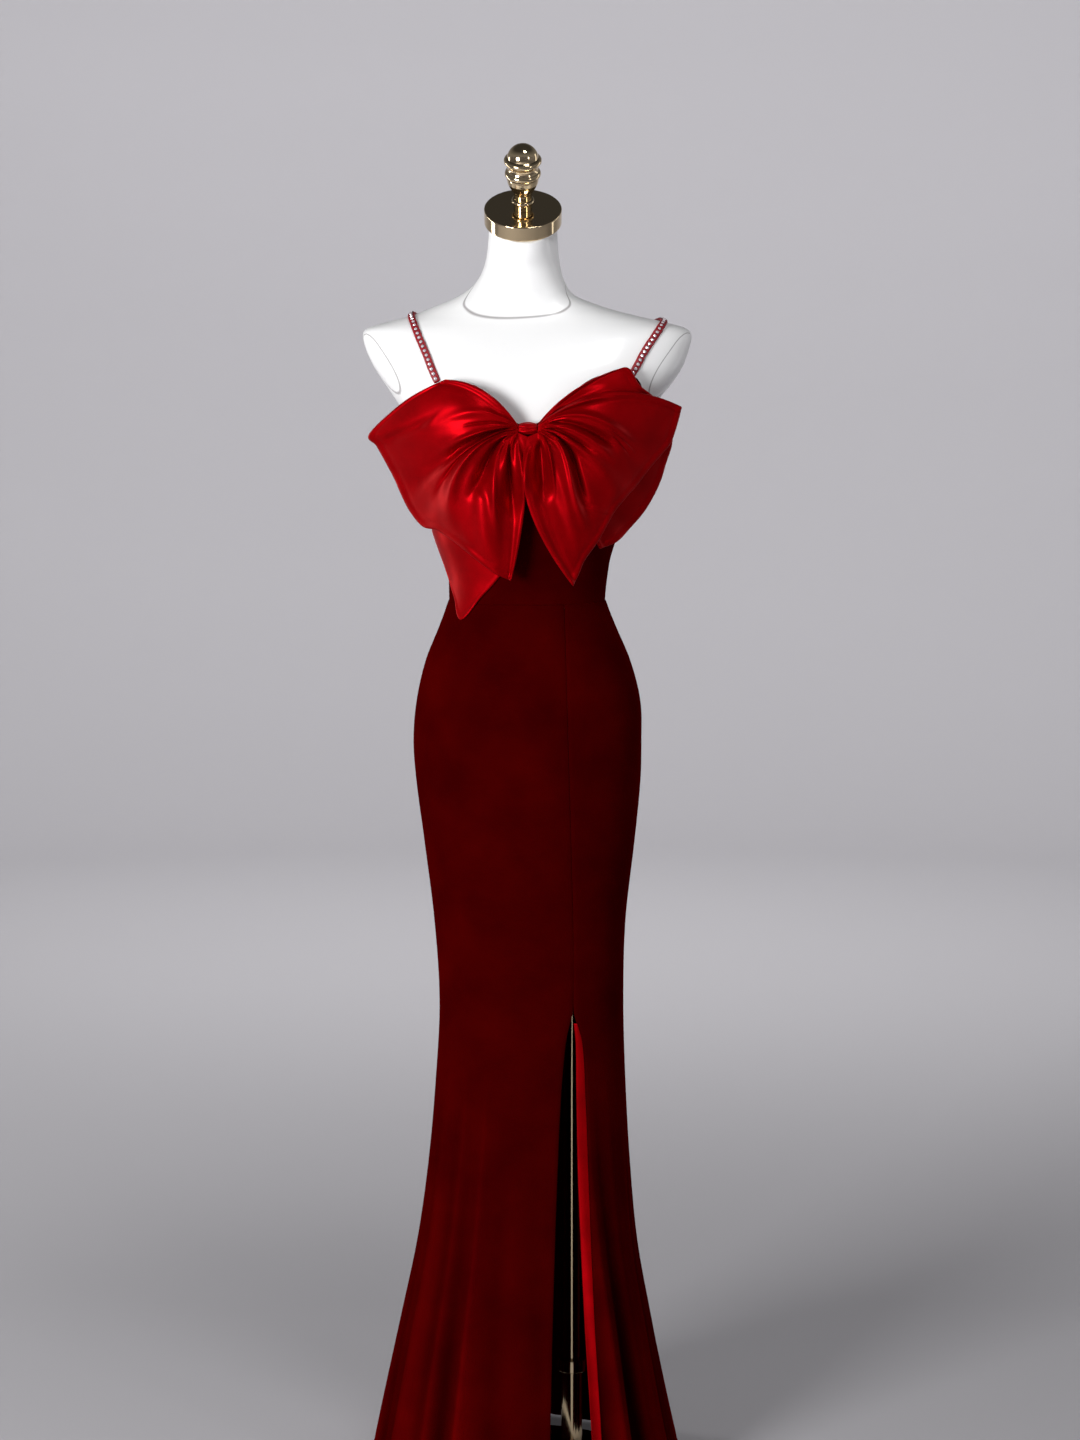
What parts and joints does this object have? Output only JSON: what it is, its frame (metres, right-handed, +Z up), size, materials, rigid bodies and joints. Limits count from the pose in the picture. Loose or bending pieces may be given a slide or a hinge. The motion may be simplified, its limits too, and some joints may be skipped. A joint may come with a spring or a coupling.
{
  "type": "mermaid evening dress on a dress form with stand",
  "caption": "Floor-length velvet mermaid dress with a large satin bow, stone straps and a front slit, on a limbless dress form with a round stand.",
  "frame": {"origin": "centre of the base's underside, on the floor under the form", "axes": "+Z up, the front of the dress faces -Y, +X is the viewer's right"},
  "size_m": [0.4175, 0.4037, 1.7294],
  "materials": {
    "velvet": "dark red pile velvet, matte with bright rims",
    "satin": "heavy bright red satin, glossy",
    "strap_band": "red band with clear stones in silver settings",
    "form_gloss": "glossy white lacquer on fibreglass",
    "gold": "polished pale gold plating",
    "zip_metal": "dark red enamel"
  },
  "bodies": {
    "stand": {"base": "gold", "lower_tube": "gold", "clamp_collar": "gold", "clamp_screw": "gold"},
    "figure": {"bodice_front": "velvet", "bodice_back_left": "velvet", "bodice_back_right": "velvet", "skirt_front": "velvet", "skirt_side_front_right": "velvet", "skirt_back_left": "velvet", "skirt_back_right": "velvet", "bow_left": "satin", "bow_right": "satin", "bow_back": "satin", "bow_knot": "satin", "tail_under_left": "satin", "slit_facing": "satin", "strap_left": "strap_band", "strap_right": "strap_band", "form_torso": "form_gloss", "neck_cap": "gold", "finial": "gold", "mounting_ring": "gold", "upper_pole": "gold", "zip_slider": "zip_metal"},
    "zip_tab": {"zip_pull": "zip_metal"}
  },
  "joints": [
    {"name": "height_slide", "type": "slide", "parent": "stand", "child": "figure", "axis": [0, 0, 1], "range_m": [0, 0.1]},
    {"name": "zip_tab_hinge", "type": "hinge", "parent": "figure", "child": "zip_tab", "pos_m": [0, 0.09745, 1.2772], "axis": [1, 0, 0], "range_deg": [0, 150]}
  ]
}
